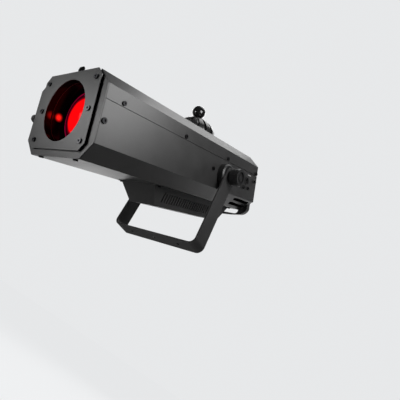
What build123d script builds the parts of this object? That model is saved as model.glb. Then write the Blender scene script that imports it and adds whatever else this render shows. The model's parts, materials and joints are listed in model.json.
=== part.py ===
from build123d import *
import os
from math import atan2, cos, degrees, radians, sin, sqrt

# An LED followspot: an octagonal sheet-metal housing that tilts in a strap yoke.
# Millimetres. Origin: centre hole of the yoke base, on its underside. +Z runs up the yoke
# arms and the beam leaves towards -Y, tipped down by rest_tilt.
# Inside the head, "back" is the distance behind the front rim along the beam, "up" is the
# distance above the housing's centre line, and x is the same in both frames.

# ---------------------------------------------------------------- driving dimensions
housing_width = 220.0
housing_height = 170.0
housing_length = 640.0
housing_corner = 30.0
sheet = 1.5
seam_up = 26.0
seam_gap = 1.2
rear_step = 624.0

rest_tilt = 27.3
pivot_height = 212.6
pivot_back = 438.0
pivot_up = -17.0

yoke_half_width = 132.0
yoke_strap_width = 46.0
yoke_strap = 4.0
yoke_bend_radius = 18.0
yoke_outer_hole_x = 76.0
yoke_centre_hole_radius = 5.25
yoke_outer_hole_radius = 4.0

optic_up = 6.5
opening_radius = 62.9
plate_half_width = 91.5
plate_top = 85.4
plate_bottom = -71.7
plate_corner = 14.0
plate_front = -4.5
plate_screw_x = 77.0
plate_screw_ups = (67.0, 6.5, -54.0)
collar_half_opening = 94.0
collar_bottom = -72.1
collar_wall_back = 12.0

lens_radius = 58.0
lens_vertex = 32.0
lens_edge = 42.0
lens_back = 46.0
tube_radius = 63.5
bulkhead_back = 58.0
rod_x = 70.0
rod_radius = 4.0
carriage_back = 200.0
focus_travel = 50.0

iris_back = 431.0
iris_swing = 20.0
ball_up = 163.0
ball_radius = 20.0
dome_back = 421.8
dome_radius = 60.5
dome_base = 95.0
dome_rise = 48.5
dome_shoulder = 36.0
dome_cap_radius = 36.0
groove_count = 16
groove_width = 7.0
groove_depth = 4.5
blade_count = 6
blade_pivot_radius = 57.0
blade_pitch = 0.65
gate_back = 443.0

wheel_x = -40.0
wheel_back = 450.0
wheel_radius = 62.0
filter_pitch_radius = 40.0
filter_count = 6

box_top_half_width = 56.0
box_bottom_half_width = 40.5
box_bottom = -131.0
box_front_top = 240.0
box_front_bottom = 268.0
box_rear_top = 590.0
box_rear_bottom = 560.0
box_slot_count = 22
box_slot_pitch = 10.0

hub_radius = 32.0
stud_radius = 5.0
running_clearance = 0.05
knob_radius = 22.0
knob_face = 161.0

half_width = housing_width / 2
half_height = housing_height / 2

# ---------------------------------------------------------------- planes and outlines
head_place = Location((0, 0, pivot_height), (rest_tilt, 0, 0)) * Location((0, -pivot_back, -pivot_up))


def section(back):
    """Plane across the beam, facing the front: local x is x, local y is up."""
    return Plane(head_place * Plane(origin=(0, back, 0), x_dir=(1, 0, 0), z_dir=(0, -1, 0)).location)


def level(up):
    """Plane along the beam, facing up: local x is x, local y is back."""
    return Plane(head_place * Location((0, 0, up)))


def side(x):
    """Upright plane along the beam, facing +X: local x is back, local y is up."""
    return Plane(head_place * Plane(origin=(x, 0, 0), x_dir=(0, 1, 0), z_dir=(1, 0, 0)).location)


def head_axis(back, up, along):
    """Axis through a head point; along is a head-frame direction."""
    start = head_place * Location((0, back, up))
    ahead = head_place * Location((along[0], back + along[1], up + along[2]))
    return Axis(start.position, ahead.position - start.position)


head_upright = head_axis(0, 0, (0, 0, 1))


def octagon(half, top, bottom, corner):
    return [
        (half, bottom + corner), (half, top - corner), (half - corner, top), (corner - half, top),
        (-half, top - corner), (-half, bottom + corner), (corner - half, bottom), (half - corner, bottom),
    ]


def housing_outline(inset):
    corner = housing_corner - inset * (2 - sqrt(2))
    return octagon(half_width - inset, half_height - inset, inset - half_height, corner)


def slab(plane, points, depth, mode=Mode.ADD):
    """Extrude one closed polygon from its plane."""
    with BuildSketch(plane) as outline:
        Polygon(*points, align=None)
    extrude(outline.sketch, amount=depth, mode=mode)


def rectangle(low, high):
    return [(low[0], low[1]), (high[0], low[1]), (high[0], high[1]), (low[0], high[1])]


def discs(plane, centres, radius, depth, mode=Mode.ADD):
    """Extrude a set of equal circles from one plane."""
    with BuildSketch(plane) as outline:
        with Locations(*centres):
            Circle(radius)
    extrude(outline.sketch, amount=depth, mode=mode)


def screws(plane, centres, head_radius, head_height, shank_radius, shank_length):
    """Button-head socket screws seated on a plane."""
    discs(plane, centres, head_radius, head_height)
    discs(plane, centres, shank_radius, -shank_length)
    with BuildSketch(plane.offset(head_height)) as socket:
        with Locations(*centres):
            RegularPolygon(head_radius * 0.5, 6)
    extrude(socket.sketch, amount=-head_height * 0.6, mode=Mode.SUBTRACT)


def mirrored(points):
    return points + [(-x, up) for x, up in points]


# ---------------------------------------------------------------- yoke
yoke_inner = yoke_half_width - yoke_strap
arm_end = yoke_strap_width / 2

with BuildPart() as yoke_bracket:
    with BuildSketch(Plane.XZ.offset(-yoke_strap_width / 2)):
        with BuildLine():
            Polyline(
                (-yoke_half_width, pivot_height + arm_end), (-yoke_half_width, 0),
                (yoke_half_width, 0), (yoke_half_width, pivot_height + arm_end),
                (yoke_inner, pivot_height + arm_end), (yoke_inner, yoke_strap),
                (-yoke_inner, yoke_strap), (-yoke_inner, pivot_height + arm_end), close=True,
            )
        make_face()
        base_corners = vertices().group_by(Axis.Y)
        fillet(base_corners[0], yoke_bend_radius)
        base_corners = vertices().filter_by_position(Axis.Y, yoke_strap - 0.1, yoke_strap + 0.1)
        fillet(base_corners, yoke_bend_radius - yoke_strap)
    extrude(amount=yoke_strap_width)
    with BuildSketch(Plane.YZ.offset(-yoke_half_width)):
        with Locations((0, pivot_height + arm_end)):
            Rectangle(yoke_strap_width, 2 * arm_end)
        with Locations((0, pivot_height)):
            Circle(arm_end, mode=Mode.SUBTRACT)
        with Locations((0, pivot_height - arm_end / 2)):
            Rectangle(yoke_strap_width, arm_end, mode=Mode.SUBTRACT)
    extrude(amount=2 * yoke_half_width, mode=Mode.SUBTRACT)
    with BuildSketch(Plane.YZ.offset(-yoke_half_width)):
        with Locations((0, pivot_height)):
            Circle(stud_radius + running_clearance)
    extrude(amount=2 * yoke_half_width, mode=Mode.SUBTRACT)
    with BuildSketch(Plane.XY):
        Circle(yoke_centre_hole_radius)
        with Locations((-yoke_outer_hole_x, 0), (yoke_outer_hole_x, 0)):
            Circle(yoke_outer_hole_radius)
    extrude(amount=yoke_strap, mode=Mode.SUBTRACT)

weld_nut_height = 6.5
with BuildPart() as yoke_weld_nuts:
    with BuildSketch(Plane.XY.offset(yoke_strap)):
        with Locations((-yoke_outer_hole_x, 0), (yoke_outer_hole_x, 0)):
            RegularPolygon(7.5, 6)
            Circle(yoke_outer_hole_radius, mode=Mode.SUBTRACT)
    extrude(amount=weld_nut_height)

washer_thickness = 1.0
with BuildPart() as friction_washers:
    for face, depth in ((yoke_half_width, washer_thickness), (-yoke_half_width, -washer_thickness)):
        with BuildSketch(Plane.YZ.offset(face)):
            with Locations((0, pivot_height)):
                Circle(16)
                Circle(stud_radius + running_clearance, mode=Mode.SUBTRACT)
        extrude(amount=depth)

# ---------------------------------------------------------------- tilt pivots
hub_gap = 0.3
hub_outer = yoke_inner - hub_gap
pivot_point = (pivot_back, pivot_up)

with BuildPart() as pivot_hubs:
    for direction in (1, -1):
        face = direction * half_width
        discs(side(face), [pivot_point], hub_radius, direction * (hub_outer - half_width))
        discs(side(face), [pivot_point], stud_radius, direction * (hub_outer - half_width), Mode.SUBTRACT)
    rims = pivot_hubs.edges().filter_by(GeomType.CIRCLE).group_by(SortBy.RADIUS)[-1]
    chamfer(rims.filter_by(lambda rim: abs(rim.center().X) > half_width + 1), 4)

stud_end = 157.0
stud_head_inner = half_width - sheet - 6.5
with BuildPart() as pivot_studs:
    for direction in (1, -1):
        with BuildSketch(side(direction * stud_head_inner)):
            with Locations(pivot_point):
                RegularPolygon(9, 6)
        extrude(amount=direction * 6.5)
        discs(side(direction * stud_head_inner), [pivot_point], stud_radius,
              direction * (stud_end - stud_head_inner))


def tilt_knob(direction):
    """Round clamp knob on the pivot stud outside one yoke arm."""
    base = direction * (yoke_half_width + washer_thickness + hub_gap)
    neck_end = direction * (yoke_half_width + washer_thickness + 5)
    face = direction * knob_face
    discs(side(base), [pivot_point], 13, neck_end - base)
    discs(side(neck_end), [pivot_point], knob_radius, face - neck_end)
    discs(side(face), [pivot_point], 15, -direction * 3, Mode.SUBTRACT)
    discs(side(face - direction * 3), [pivot_point], 9, direction * 2)
    with BuildSketch(side(neck_end + direction * 4)) as grooves:
        with Locations(pivot_point):
            with PolarLocations(knob_radius + 0.6, 30):
                Circle(1.3)
    extrude(grooves.sketch, amount=direction * (knob_face - yoke_half_width - 15), mode=Mode.SUBTRACT)
    bore_depth = direction * (stud_end + 0.5 - abs(base))
    discs(side(base), [pivot_point], stud_radius + running_clearance, bore_depth, Mode.SUBTRACT)


with BuildPart() as tilt_knob_right:
    tilt_knob(1)

with BuildPart() as tilt_knob_left:
    tilt_knob(-1)

# ---------------------------------------------------------------- housing shells
flange_back = sheet
shell_front = 2.3
side_screw_up = seam_up + 7.0
side_screw_backs = (46.0, 248.0, 449.0)
edge_screw_points = ((633.0, 32.0), (631.0, 6.6))
lone_screw_point = (383.0, -9.0)
collar_screw_point = (10.3, -12.6)
lock_screw_point = (10.9, -3.0)
bottom_screw_x = 58.0
bottom_screw_back = 10.5
socket_point = (577.0, -1.0)
socket_radius = 12.0
socket_screw_points = ((561.0, -22.5), (591.0, -21.0))
screw_hole_radius = 2.1
vent_backs = (529.0, 619.0)
vent_shares = (0.25, 0.68)
vent_width = 10.5
box_tab_x = 63.0
box_tab_points = [(x, back) for x in (-box_tab_x, box_tab_x) for back in (247.0, 582.0)]

side_screw_points = [(back, side_screw_up) for back in side_screw_backs]


def cut_through_sides(points, radius):
    discs(side(-half_width - 1), points, radius, housing_width + 2, Mode.SUBTRACT)


with BuildPart() as lower_shell:
    shell_top = seam_up - seam_gap / 2
    slab(section(shell_front), housing_outline(0), -(rear_step - shell_front))
    side_strip = rectangle((-half_width, housing_corner - half_height), (half_width, shell_top))
    slab(section(rear_step), side_strip, -(housing_length - rear_step))
    slab(section(shell_front), housing_outline(sheet), -(housing_length - shell_front), Mode.SUBTRACT)
    above_seam = rectangle((-half_width - 1, shell_top), (half_width + 1, half_height + 1))
    slab(section(0), above_seam, -housing_length - 1, Mode.SUBTRACT)
    # Inner lips that carry the cover screws.
    for direction in (1, -1):
        lip_face = direction * (half_width - sheet)
        lip = rectangle((20, seam_up - 8), (618, seam_up + 15))
        slab(side(lip_face), lip, -direction * sheet)
    # Two long vents in each lower rear chamfer.
    for direction in (1, -1):
        for share in vent_shares:
            along = housing_corner * share
            middle_x = direction * (half_width - along)
            middle_up = housing_corner - half_height - along
            corner_face = Plane(
                head_place * Plane(
                    origin=(middle_x, sum(vent_backs) / 2, middle_up),
                    x_dir=(0, 1, 0),
                    z_dir=(direction, 0, -1),
                ).location
            )
            with BuildSketch(corner_face.offset(2)):
                SlotOverall(vent_backs[1] - vent_backs[0], vent_width)
            extrude(amount=-5, mode=Mode.SUBTRACT)
    # Cable opening above the driver box.
    slab(level(-half_height - 1), rectangle((-30, 320), (30, 520)), 4, Mode.SUBTRACT)
    cut_through_sides(side_screw_points + [collar_screw_point, lone_screw_point], screw_hole_radius)
    cut_through_sides([edge_screw_points[1]], screw_hole_radius)
    cut_through_sides([pivot_point], stud_radius)
    cut_through_sides([socket_point], socket_radius)
    cut_through_sides(list(socket_screw_points), screw_hole_radius)
    discs(side(-half_width - 1), [lock_screw_point], 2.6, 4, Mode.SUBTRACT)
    bottom_screw_points = [(-bottom_screw_x, bottom_screw_back), (bottom_screw_x, bottom_screw_back)]
    bottom_holes = bottom_screw_points + box_tab_points
    discs(level(-half_height - 1), bottom_holes, screw_hole_radius, 4, Mode.SUBTRACT)

gel_notch_back = 15.0
lever_slot_half_x = 36.0
lever_slot_half_back = 6.0
focus_slot_width = 9.0

with BuildPart() as top_cover:
    cover_bottom = seam_up + seam_gap / 2
    slab(section(shell_front), housing_outline(0), -(housing_length - shell_front))
    slab(section(shell_front), housing_outline(sheet), -(housing_length - shell_front), Mode.SUBTRACT)
    below_seam = rectangle((-half_width - 1, -half_height - 1), (half_width + 1, cover_bottom))
    slab(section(0), below_seam, -housing_length - 1, Mode.SUBTRACT)
    notch = rectangle((housing_corner - half_width, 0), (half_width - housing_corner, gel_notch_back))
    slab(level(half_height - sheet - 1), notch, sheet + 2, Mode.SUBTRACT)
    lever_slot = rectangle(
        (-lever_slot_half_x, iris_back - lever_slot_half_back),
        (lever_slot_half_x, iris_back + lever_slot_half_back),
    )
    slab(level(half_height - sheet - 1), lever_slot, sheet + 2, Mode.SUBTRACT)
    with BuildSketch(level(half_height - sheet - 1)):
        with Locations((0, carriage_back)):
            SlotOverall(2 * focus_travel + 2 * focus_slot_width, focus_slot_width, rotation=90)
    extrude(amount=sheet + 2, mode=Mode.SUBTRACT)
    cut_through_sides(side_screw_points + [edge_screw_points[0]], screw_hole_radius)

# ---------------------------------------------------------------- front end
skirt_gap = 0.05
plate_outline = octagon(plate_half_width, plate_top, plate_bottom, plate_corner)
plate_screw_points = mirrored([(plate_screw_x, up) for up in plate_screw_ups])
optic_centre = [(0, optic_up)]

with BuildPart() as front_collar:
    channel_top = half_height - 2 * sheet
    channel_corner = plate_corner + 2.5
    opening_outline = octagon(collar_half_opening, channel_top, collar_bottom, channel_corner - 0.9)
    # Outer skirt inside the housing, with the front flange that covers the sheet edges.
    slab(section(flange_back), housing_outline(sheet + skirt_gap), -(18 - flange_back))
    slab(section(flange_back), housing_outline(2 * sheet + skirt_gap), -(18 - flange_back), Mode.SUBTRACT)
    slab(section(0), housing_outline(0), -flange_back)
    # Inner channel for the filter frame, closed at the back by the lens wall.
    channel = octagon(collar_half_opening + sheet, channel_top, collar_bottom - sheet, channel_corner)
    slab(section(flange_back), channel, -(collar_wall_back + sheet - flange_back))
    slab(section(0), opening_outline, -collar_wall_back, Mode.SUBTRACT)
    flat_half = half_width - housing_corner
    top_gap = rectangle((-flat_half, channel_top), (flat_half, half_height + 1))
    slab(section(0), top_gap, -20, Mode.SUBTRACT)
    discs(section(0), optic_centre, tube_radius, -20, Mode.SUBTRACT)
    discs(section(0), plate_screw_points, screw_hole_radius, -20, Mode.SUBTRACT)
    cut_through_sides([collar_screw_point], screw_hole_radius)
    discs(side(-half_width), [lock_screw_point], 2.6, 34, Mode.SUBTRACT)
    discs(level(-half_height), bottom_screw_points, screw_hole_radius, 5, Mode.SUBTRACT)

with BuildPart() as face_plate:
    slab(section(plate_front), plate_outline, -sheet)
    discs(section(plate_front), optic_centre, opening_radius, -sheet, Mode.SUBTRACT)
    discs(section(plate_front), plate_screw_points, screw_hole_radius, -sheet, Mode.SUBTRACT)

plate_rear = plate_front + sheet
sleeve_wall = 1.5
frame_half_width = 74.0
frame_front = 9.9
frame_thickness = 2.0
with BuildPart() as plate_standoffs:
    discs(section(plate_rear), plate_screw_points, 6, -(frame_front - 0.1 - plate_rear))
    discs(section(frame_front - 0.1), plate_screw_points, 2.7, -(collar_wall_back - frame_front + 0.1))
    discs(section(plate_rear), plate_screw_points, screw_hole_radius, -20, Mode.SUBTRACT)

with BuildPart() as light_sleeve:
    sleeve_length = frame_front - 0.3 - plate_rear
    discs(section(plate_rear), optic_centre, opening_radius + sleeve_wall, -sleeve_length)
    discs(section(plate_rear), optic_centre, opening_radius, -sleeve_length, Mode.SUBTRACT)

with BuildPart() as face_plate_screws:
    screws(section(plate_front), plate_screw_points, 5.0, 2.6, 2.0, 21)

with BuildPart() as lens_tube:
    tube_front = collar_wall_back + sheet
    discs(section(tube_front), optic_centre, tube_radius + 2, -(bulkhead_back - tube_front))
    discs(section(tube_front), optic_centre, tube_radius + 8, -2)
    slab(section(bulkhead_back), octagon(100, 78, -76, 24), -2)
    discs(section(tube_front), optic_centre, tube_radius, -(lens_back - tube_front), Mode.SUBTRACT)
    tube_length = bulkhead_back + 2 - tube_front
    discs(section(tube_front), optic_centre, lens_radius - 4, -tube_length, Mode.SUBTRACT)
    discs(section(bulkhead_back), [(-rod_x, optic_up), (rod_x, optic_up)], rod_radius, -2, Mode.SUBTRACT)

lens_sag = lens_edge - lens_vertex
with BuildPart() as front_lens:
    with BuildSketch(side(0)) as lens_profile:
        with BuildLine():
            sphere_radius = (lens_radius ** 2 + lens_sag ** 2) / (2 * lens_sag)
            mid_radius = lens_radius / 2
            mid_sag = sphere_radius - sqrt(sphere_radius ** 2 - mid_radius ** 2)
            ThreePointArc(
                (lens_vertex, optic_up), (lens_vertex + mid_sag, optic_up + mid_radius),
                (lens_edge, optic_up + lens_radius),
            )
            Line((lens_edge, optic_up + lens_radius), (lens_back, optic_up + lens_radius))
            Line((lens_back, optic_up + lens_radius), (lens_back, optic_up))
            Line((lens_back, optic_up), (lens_vertex, optic_up))
        make_face()
    revolve(axis=head_axis(0, optic_up, (0, 1, 0)))

with BuildPart() as lens_retainer:
    lip_back = lens_edge - 0.6
    discs(section(lip_back - 1.6), optic_centre, tube_radius, -(lens_back - lip_back + 1.6))
    discs(section(lip_back - 1.6), optic_centre, lens_radius - 1.5, -1.6, Mode.SUBTRACT)
    discs(section(lip_back), optic_centre, lens_radius, -(lens_back - lip_back), Mode.SUBTRACT)

# The empty filter frame slides up out of the front channel by its tab.
frame_bottom = -67.0
frame_top = 83.0
tab_half_width = 10.0
tab_top = 104.5
tab_corner = 4.0
with BuildPart() as gel_frame:
    with BuildSketch(section(frame_front)):
        with Locations((0, (frame_bottom + frame_top) / 2)):
            RectangleRounded(2 * frame_half_width, frame_top - frame_bottom, 6)
        Polygon(
            (-tab_half_width, frame_top - 1), (tab_half_width, frame_top - 1),
            (tab_half_width, tab_top - tab_corner), (tab_half_width - tab_corner, tab_top),
            (tab_corner - tab_half_width, tab_top), (-tab_half_width, tab_top - tab_corner), align=None,
        )
        with Locations((0, optic_up)):
            Circle(tube_radius, mode=Mode.SUBTRACT)
    extrude(amount=-frame_thickness)

with BuildPart() as frame_lock_screw:
    discs(side(-half_width - 4), [lock_screw_point], 2.5, 31.5)
    discs(side(-half_width - 4), [lock_screw_point], 5, -3)
    discs(side(-half_width - 7), [lock_screw_point], 9, -12)
    with BuildSketch(side(-half_width - 9)):
        with Locations(lock_screw_point):
            with PolarLocations(9.4, 16):
                Circle(1.0)
    extrude(amount=-10, mode=Mode.SUBTRACT)

# ---------------------------------------------------------------- rear end
panel_back = 636.0
panel_thickness = 2.0
panel_gap = 0.1
panel_shelf_up = -60.0
panel_flange_back = 626.0
display_up = 52.0
button_up = 28.0
button_xs = (-33.0, -11.0, 11.0, 33.0)
button_radius = 4.0
inlet_x = -48.0
inlet_up = -27.0
switch_x = 44.0
handle_half_width = 101.0
handle_top = -45.0
handle_bottom = -104.5
handle_screw_points = mirrored([(84, -52), (34, -52)])
panel_vent_ups = [-16.0 + 6.5 * row for row in range(5)]

with BuildPart() as rear_panel:
    panel_outline = housing_outline(sheet + panel_gap)
    # Pan flange inside the housing end.
    slab(section(panel_flange_back), panel_outline, -(panel_back + panel_thickness - panel_flange_back))
    hollow_depth = panel_back - panel_flange_back
    slab(section(panel_flange_back), housing_outline(2 * sheet + panel_gap), -hollow_depth, Mode.SUBTRACT)
    low_cut = rectangle((-half_width, -half_height - 1), (half_width, panel_shelf_up - sheet))
    slab(section(rear_step - 4), low_cut, -22, Mode.SUBTRACT)
    # Step that clears the hand slot of the handle.
    shelf = rectangle((-98, panel_shelf_up - sheet), (98, panel_shelf_up))
    slab(section(rear_step - sheet), shelf, -(panel_back - rear_step + sheet))
    with BuildSketch(section(rear_step - sheet)):
        Polygon(*panel_outline, align=None)
        with Locations((0, half_height + panel_shelf_up)):
            Rectangle(2 * housing_width, 2 * half_height, mode=Mode.SUBTRACT)
    extrude(amount=-sheet)
    with BuildSketch(section(panel_back)):
        with Locations((0, display_up)):
            Rectangle(52, 20)
        with Locations(*[(x, button_up) for x in button_xs]):
            Circle(button_radius + 0.3)
        with Locations(*[(0, up) for up in panel_vent_ups]):
            SlotOverall(76, 3.2)
        with Locations((inlet_x, inlet_up)):
            Rectangle(28, 22)
        with Locations((switch_x, inlet_up)):
            Rectangle(20, 14)
        with Locations(*handle_screw_points):
            Circle(screw_hole_radius)
    extrude(amount=-panel_thickness, mode=Mode.SUBTRACT)
    cut_through_sides(list(edge_screw_points), screw_hole_radius)

with BuildPart() as rear_handle:
    bow_end_up = -98.5
    bow_end_x = 74.0
    leg_bottom = -78.0
    handle_sheet = 2.0
    with BuildSketch(section(rear_step)) as handle_outline:
        with BuildLine():
            Polyline(
                (-handle_half_width, leg_bottom), (-handle_half_width, handle_top),
                (handle_half_width, handle_top), (handle_half_width, leg_bottom),
            )
            ThreePointArc((handle_half_width, leg_bottom), (92.5, -91.5), (bow_end_x, bow_end_up))
            ThreePointArc((bow_end_x, bow_end_up), (0, handle_bottom), (-bow_end_x, bow_end_up))
            ThreePointArc((-bow_end_x, bow_end_up), (-92.5, -91.5), (-handle_half_width, leg_bottom))
        make_face()
    extrude(amount=-(housing_length - rear_step))
    with BuildSketch(section(rear_step)):
        add(handle_outline.sketch_local)
        offset(amount=-handle_sheet)
    extrude(amount=-(housing_length - rear_step - handle_sheet), mode=Mode.SUBTRACT)
    above_shelf = rectangle((-housing_width, panel_shelf_up - sheet), (housing_width, 0))
    slab(section(rear_step), above_shelf, -(housing_length - rear_step - handle_sheet), Mode.SUBTRACT)
    with BuildSketch(section(rear_step)):
        with Locations((0, -81.3)):
            RectangleRounded(132, 30.4, 12)
    extrude(amount=-(housing_length - rear_step), mode=Mode.SUBTRACT)
    discs(section(housing_length), handle_screw_points, screw_hole_radius, 6, Mode.SUBTRACT)

with BuildPart() as rear_screws:
    screws(section(housing_length), handle_screw_points, 4.2, -2.4, 2.0, -9)

board_back = 610.0
board_thickness = 1.6
board_face = board_back + board_thickness
with BuildPart() as display:
    window = rectangle((-25.8, display_up - 9.8), (25.8, display_up + 9.8))
    slab(section(board_face), window, -(panel_back + 1 - board_face))

switch_box_depth = 8.0
with BuildPart() as control_board:
    slab(section(board_back), rectangle((-58, 14), (58, 70)), -board_thickness)
    discs(section(board_face), mirrored([(54, 18), (54, 66)]), 2.5, -(panel_back - board_face))
    with BuildSketch(section(board_face)):
        with Locations(*[(x, button_up) for x in button_xs]):
            Rectangle(9, 9)
    extrude(amount=-switch_box_depth)
    slab(section(board_face), rectangle((-44, 43), (-30, 57)), -2.5)

button_travel = 1.5
stem_start = board_face + switch_box_depth + button_travel + 0.3
menu_buttons = {}
for number, button_x in enumerate(button_xs, start=1):
    with BuildPart() as menu_button:
        centre = [(button_x, button_up)]
        discs(section(stem_start), centre, button_radius, -(housing_length + 1 - stem_start))
        discs(section(panel_back - 2.2), centre, button_radius + 1.6, -2)
        cap_edge = menu_button.edges().filter_by(GeomType.CIRCLE).sort_by(head_axis(0, 0, (0, 1, 0)))[-1]
        fillet(cap_edge, 0.8)
    menu_buttons[f"menu_button_{number}"] = menu_button

inlet_front = 606.0
with BuildPart() as power_inlet:
    inlet_centre = (inlet_x, inlet_up)
    with BuildSketch(section(inlet_front)):
        with Locations(inlet_centre):
            Rectangle(27.6, 21.6)
    extrude(amount=-(panel_back + panel_thickness - inlet_front))
    with BuildSketch(section(panel_back + panel_thickness)):
        with Locations(inlet_centre):
            RectangleRounded(34, 26, 3)
    extrude(amount=-2)
    with BuildSketch(section(housing_length)):
        with Locations(inlet_centre):
            RectangleRounded(24, 16.5, 3)
    extrude(amount=18, mode=Mode.SUBTRACT)
    blades = [(inlet_x - 7, inlet_up - 2), (inlet_x, inlet_up + 2), (inlet_x + 7, inlet_up - 2)]
    with BuildSketch(section(housing_length - 2)):
        with Locations(*blades):
            Rectangle(2, 4)
    extrude(amount=17)

rocker_pivot_back = 634.0
rocker_radius = 9.4
rocker_height = 13.2
rocker_tilt = 8.0
with BuildPart() as power_switch:
    with BuildSketch(level(inlet_up - rocker_height / 2)):
        with Locations(Location((switch_x, rocker_pivot_back, 0), (0, 0, rocker_tilt))):
            Circle(rocker_radius)
            Polygon((-12, -5), (12, -5), (12, 6.4), (0, 4.8), (-12, 6.4), align=None, mode=Mode.INTERSECT)
    extrude(amount=rocker_height)

with BuildPart() as switch_body:
    slab(section(614), rectangle((switch_x - 9.9, inlet_up - 6.9), (switch_x + 9.9, inlet_up + 6.9)), -22)
    with BuildSketch(section(panel_back)):
        with Locations((switch_x, inlet_up)):
            Rectangle(19.8, 13.8)
    extrude(amount=-panel_thickness)
    with BuildSketch(section(panel_back + panel_thickness)):
        with Locations((switch_x, inlet_up)):
            RectangleRounded(25, 19, 2)
    extrude(amount=-1.2)
    with BuildSketch(level(inlet_up - rocker_height / 2 - 0.1)):
        with Locations((switch_x, rocker_pivot_back)):
            Circle(rocker_radius + 0.1)
    extrude(amount=rocker_height + 0.2, mode=Mode.SUBTRACT)
    pocket = rectangle(
        (switch_x - rocker_radius - 0.1, inlet_up - rocker_height / 2 - 0.1),
        (switch_x + rocker_radius + 0.1, inlet_up + rocker_height / 2 + 0.1),
    )
    slab(section(rocker_pivot_back), pocket, -12, Mode.SUBTRACT)

with BuildPart() as dmx_sockets:
    for direction in (1, -1):
        face = direction * (half_width + 1.2)
        discs(side(face), [socket_point], socket_radius - 0.1, -direction * 26)
        flange = rectangle((554, -28), (598, 14))
        slab(side(direction * (half_width - sheet)), flange, -direction * 2)
        discs(side(face), list(socket_screw_points), screw_hole_radius, -direction * 11, Mode.SUBTRACT)
        discs(side(face), [socket_point], 9.2, -direction * 11, Mode.SUBTRACT)
        with BuildSketch(side(face - direction * 2)):
            with Locations(socket_point):
                with PolarLocations(4.5, 3, start_angle=90):
                    Circle(1.1)
        extrude(amount=-direction * 10)

with BuildPart() as side_label:
    slab(side(half_width), rectangle((578, 16.5), (598, 19.5)), 0.3)

# ---------------------------------------------------------------- driver box
box_slot_width = 4.0
box_slot_first = 287.0


def box_outline(half, front, rear, inset):
    return rectangle((inset - half, front + inset), (half - inset, rear - inset))


with BuildPart() as driver_box:
    for inset, floor, mode in ((0, 0, Mode.ADD), (sheet, sheet, Mode.SUBTRACT)):
        with BuildSketch(level(-half_height)):
            Polygon(*box_outline(box_top_half_width, box_front_top, box_rear_top, inset), align=None)
        with BuildSketch(level(box_bottom + floor)):
            Polygon(*box_outline(box_bottom_half_width, box_front_bottom, box_rear_bottom, inset), align=None)
        loft(mode=mode)
    with BuildSketch(side(-80)):
        with Locations((box_slot_first + (box_slot_count - 1) / 2 * box_slot_pitch, -108)):
            with GridLocations(box_slot_pitch, 1, box_slot_count, 1):
                SlotOverall(24, box_slot_width, rotation=90)
    extrude(amount=160, mode=Mode.SUBTRACT)
    with BuildSketch(level(-half_height)):
        with Locations(*[(x - 3 if x > 0 else x + 3, back) for x, back in box_tab_points]):
            Rectangle(18, 11)
        mouth = box_outline(box_top_half_width, box_front_top, box_rear_top, 1)
        Polygon(*mouth, align=None, mode=Mode.SUBTRACT)
    extrude(amount=-sheet)
    discs(level(-half_height), box_tab_points, screw_hole_radius, -4, Mode.SUBTRACT)

with BuildPart() as led_driver:
    slab(level(box_bottom + sheet), rectangle((-30, 300), (30, 420)), 30)
    fillet(led_driver.edges().filter_by(head_upright), 3)

with BuildPart() as power_supply:
    slab(level(box_bottom + sheet), rectangle((-30, 436), (30, 540)), 34)
    fillet(power_supply.edges().filter_by(head_upright), 2)

with BuildPart() as housing_screws:
    for direction in (1, -1):
        side_points = side_screw_points + list(edge_screw_points) + [lone_screw_point]
        side_points += list(socket_screw_points)
        screws(side(direction * half_width), side_points, 4.8, direction * 2.4, 2.0, direction * 6)
        screws(side(direction * half_width), [collar_screw_point], 5.6, direction * 2.6, 2.0, direction * 8)
    screws(level(-half_height), bottom_screw_points, 5.0, -2.6, 2.0, -8)
    screws(level(-half_height - sheet), box_tab_points, 4.0, -2.2, 2.0, -7)

# ---------------------------------------------------------------- optics
with BuildPart() as gate_plate:
    slab(section(gate_back), octagon(100, 83.4, -83.4, 24), -2)
    discs(section(gate_back), optic_centre, 30, -2, Mode.SUBTRACT)
    rod_points = [(-rod_x, optic_up), (rod_x, optic_up)]
    discs(section(gate_back), rod_points, rod_radius, -2, Mode.SUBTRACT)

with BuildPart() as guide_rods:
    discs(section(bulkhead_back), rod_points, rod_radius, -(gate_back + 2 - bulkhead_back))

carriage_thickness = 8.0
focus_lens_radius = 44.0
stud_top = 108.0
with BuildPart() as lens_carriage:
    front = carriage_back - carriage_thickness / 2
    with BuildSketch(section(front)):
        with Locations((0, optic_up)):
            Circle(50)
            Rectangle(2 * rod_x + 18, 22)
            Circle(focus_lens_radius, mode=Mode.SUBTRACT)
        with Locations(*rod_points):
            Circle(rod_radius + running_clearance, mode=Mode.SUBTRACT)
    extrude(amount=-carriage_thickness)
    discs(level(optic_up + 48), [(0, carriage_back)], 4, stud_top - optic_up - 48)

with BuildPart() as focus_lens:
    with BuildSketch(side(0)):
        edge_front = carriage_back - 3
        edge_rear = carriage_back + 3
        bulge = 5.0
        curve_radius = (focus_lens_radius ** 2 + bulge ** 2) / (2 * bulge)
        half_radius = focus_lens_radius / 2
        half_bulge = bulge - curve_radius + sqrt(curve_radius ** 2 - half_radius ** 2)
        lens_rim_up = optic_up + focus_lens_radius
        with BuildLine():
            ThreePointArc(
                (edge_front - bulge, optic_up), (edge_front - half_bulge, optic_up + half_radius),
                (edge_front, lens_rim_up),
            )
            Line((edge_front, lens_rim_up), (edge_rear, lens_rim_up))
            ThreePointArc(
                (edge_rear, lens_rim_up), (edge_rear + half_bulge, optic_up + half_radius),
                (edge_rear + bulge, optic_up),
            )
            Line((edge_rear + bulge, optic_up), (edge_front - bulge, optic_up))
        make_face()
    revolve(axis=head_axis(0, optic_up, (0, 1, 0)))

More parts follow.
